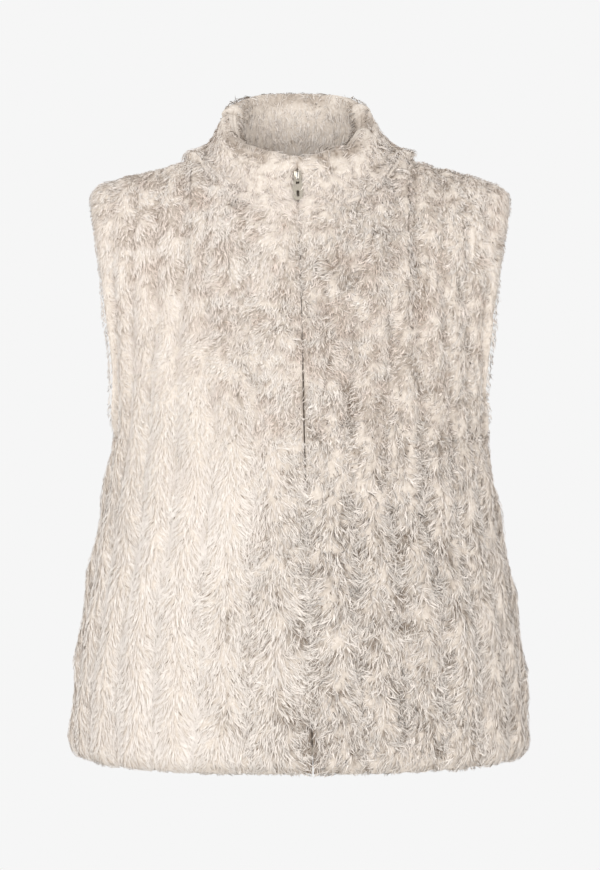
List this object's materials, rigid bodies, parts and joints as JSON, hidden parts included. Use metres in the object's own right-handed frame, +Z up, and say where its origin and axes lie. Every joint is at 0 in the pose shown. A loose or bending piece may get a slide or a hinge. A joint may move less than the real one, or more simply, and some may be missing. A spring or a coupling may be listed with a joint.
{
  "type": "faux fur vest",
  "caption": "Sleeveless long-pile faux fur vest with a stand collar and a separating front zip, filled out as worn, open at neck, armholes and hem, with a swinging zip pull.",
  "frame": {"origin": "between the wearer's shoulders, at the height of the neck ends of the shoulder seams", "axes": "+Z up, -Y to the wearer's front, +X to the wearer's left"},
  "size_m": [0.4806, 0.2941, 0.6841],
  "materials": {
    "fur": "long soft cream and taupe pile",
    "fur_facing": "the same pile, flattened inside the collar",
    "tape": "woven zip tape",
    "zip_metal": "satin nickel"
  },
  "bodies": {
    "vest": {"front_left": "fur", "front_right": "fur", "back": "fur", "collar_outer": "fur", "collar_inner": "fur_facing", "zip_tape_left": "tape", "zip_tape_right": "tape", "zip_chain": "zip_metal", "zip_slider": "zip_metal", "zip_box": "zip_metal"},
    "pull": {"zip_pull": "zip_metal"}
  },
  "joints": [
    {"name": "pull_swing", "type": "hinge", "parent": "vest", "child": "pull", "pos_m": [-0.0025, -0.07041, -0.01113], "axis": [-0.9997, 0, -0.0261], "range_deg": [0, 140]}
  ]
}
